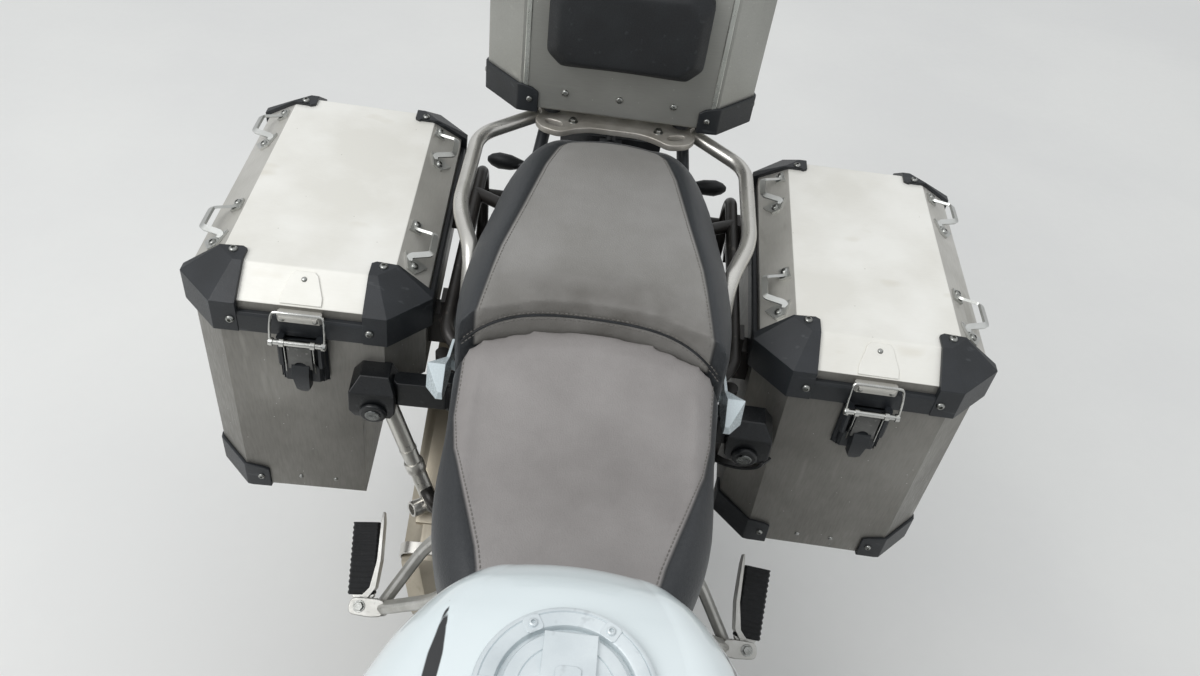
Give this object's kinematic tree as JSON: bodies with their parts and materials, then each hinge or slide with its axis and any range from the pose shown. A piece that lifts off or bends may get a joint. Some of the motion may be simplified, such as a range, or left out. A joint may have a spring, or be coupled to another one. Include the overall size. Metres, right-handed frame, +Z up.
{
  "type": "adventure motorcycle",
  "caption": "Large flat-twin touring motorcycle with tall screen, metal side cases, a rack case with backrest pad and stands; wheels turn, steering, lids, pegs and stands move.",
  "frame": {"origin": "on the floor, at the middle of the machine's length and width", "axes": "+Z up, -Y is the way the machine faces, +X is its left side"},
  "size_m": [1.0522, 2.2188, 1.446],
  "materials": {
    "dark_paint": "satin",
    "engine_alloy": "cast",
    "cover_alloy": "satin",
    "exhaust_steel": "heat tinted",
    "silencer_steel": "satin",
    "brushed_alloy": "brushed",
    "black_plastic": "grained",
    "white_paint": "gloss",
    "silver_paint": "satin",
    "seat_cover": "grained vinyl",
    "stainless_steel": "satin",
    "carrier_steel": "satin",
    "case_alloy": "brushed",
    "pad_rubber": "matte",
    "lamp_lens": "clear",
    "spring_steel": "gloss",
    "peg_alloy": "cast",
    "lamp_glass": "clear",
    "screen_clear": "clear",
    "lid_paint": "matte",
    "fork_metal": "satin",
    "black_metal": "satin",
    "tyre_rubber": "matte",
    "wheel_alloy": "satin",
    "disc_steel": "brushed"
  },
  "bodies": {
    "chassis": {"frame": "dark_paint", "engine": "engine_alloy", "valve_covers": "cover_alloy", "exhaust": "exhaust_steel", "silencer": "silencer_steel", "skid_plate": "brushed_alloy", "radiators": "black_plastic", "fuel_tank": "black_plastic", "tank_covers": "white_paint", "filler_ring": "silver_paint", "rider_seat": "seat_cover", "pillion_seat": "seat_cover", "tail_panels": "white_paint", "luggage_rack": "stainless_steel", "pannier_carriers": "carrier_steel", "pannier_left": "case_alloy", "pannier_right": "case_alloy", "pannier_locks": "black_plastic", "lid_latches": "black_plastic", "case_corners": "black_plastic", "topcase": "case_alloy", "backrest_pad": "pad_rubber", "rear_fender": "black_plastic", "lamps": "lamp_lens", "swingarm": "dark_paint", "shocks": "spring_steel", "front_arm": "dark_paint", "rider_peg_brackets": "peg_alloy", "passenger_peg_brackets": "peg_alloy", "crash_bars": "stainless_steel", "cockpit": "black_plastic", "headlight": "lamp_glass", "beak": "white_paint", "windscreen": "screen_clear"},
    "lid_left": {"lid_left": "lid_paint", "lid_trim_left": "black_plastic"},
    "lid_right": {"lid_right": "lid_paint", "lid_trim_right": "black_plastic"},
    "topcase_lid": {"topcase_lid": "case_alloy", "topcase_lid_trim": "black_plastic"},
    "filler_cap": {"filler_cap": "silver_paint"},
    "steering": {"fork_legs": "fork_metal", "front_fender": "white_paint", "handlebar": "black_metal", "bar_controls": "black_plastic", "hand_guards": "black_plastic"},
    "front_wheel": {"front_tyre": "tyre_rubber", "front_wheel": "wheel_alloy", "front_discs": "disc_steel"},
    "rear_wheel": {"rear_tyre": "tyre_rubber", "rear_wheel": "wheel_alloy", "rear_disc": "disc_steel"},
    "centre_stand": {"centre_stand": "black_metal"},
    "side_stand": {"side_stand": "black_metal"},
    "rider_peg_left": {"rider_peg_left": "peg_alloy"},
    "rider_peg_right": {"rider_peg_right": "peg_alloy"},
    "passenger_peg_left": {"passenger_peg_left": "peg_alloy"},
    "passenger_peg_right": {"passenger_peg_right": "peg_alloy"}
  },
  "joints": [
    {"name": "steering_turn", "type": "hinge", "parent": "chassis", "child": "steering", "pos_m": [0, -0.40985, 0.98144], "axis": [0, 0.4305, 0.9026], "range_deg": [-32, 32]},
    {"name": "front_wheel_spin", "type": "hinge", "parent": "steering", "child": "front_wheel", "pos_m": [0, -0.785, 0.325], "axis": [1, 0, 0], "continuous": true},
    {"name": "rear_wheel_spin", "type": "hinge", "parent": "chassis", "child": "rear_wheel", "pos_m": [0, 0.725, 0.34], "axis": [1, 0, 0], "continuous": true},
    {"name": "lid_left_hinge", "type": "hinge", "parent": "chassis", "child": "lid_left", "pos_m": [0.37238, 0.85401, 0.83611], "axis": [-0.9972, 0.061, -0.0436], "range_deg": [0, 100]},
    {"name": "lid_right_hinge", "type": "hinge", "parent": "chassis", "child": "lid_right", "pos_m": [-0.37238, 0.85401, 0.83611], "axis": [-0.9972, -0.061, 0.0436], "range_deg": [0, 100]},
    {"name": "topcase_lid_hinge", "type": "hinge", "parent": "chassis", "child": "topcase_lid", "pos_m": [0, 0.715, 1.216], "axis": [1, 0, 0], "range_deg": [0, 80]},
    {"name": "filler_cap_hinge", "type": "hinge", "parent": "chassis", "child": "filler_cap", "pos_m": [0, -0.164, 1.082], "axis": [1, 0, 0], "range_deg": [0, 95]},
    {"name": "centre_stand_pivot", "type": "hinge", "parent": "chassis", "child": "centre_stand", "pos_m": [0, 0.263, 0.272], "axis": [1, 0, 0], "range_deg": [0, 75]},
    {"name": "side_stand_pivot", "type": "hinge", "parent": "chassis", "child": "side_stand", "pos_m": [0.22, 0.085, 0.256], "axis": [-0.9804, -0.159, -0.1163], "range_deg": [0, 109]},
    {"name": "rider_peg_left_fold", "type": "hinge", "parent": "chassis", "child": "rider_peg_left", "pos_m": [0.196, 0.135, 0.342], "axis": [0, -1, 0], "range_deg": [0, 70]},
    {"name": "passenger_peg_left_fold", "type": "hinge", "parent": "chassis", "child": "passenger_peg_left", "pos_m": [0.263, 0.239, 0.474], "axis": [0, 0.5, -0.866], "range_deg": [0, 85]},
    {"name": "rider_peg_right_fold", "type": "hinge", "parent": "chassis", "child": "rider_peg_right", "pos_m": [-0.196, 0.135, 0.342], "axis": [0, 1, 0], "range_deg": [0, 70]},
    {"name": "passenger_peg_right_fold", "type": "hinge", "parent": "chassis", "child": "passenger_peg_right", "pos_m": [-0.263, 0.239, 0.474], "axis": [0, -0.5, 0.866], "range_deg": [0, 85]}
  ]
}
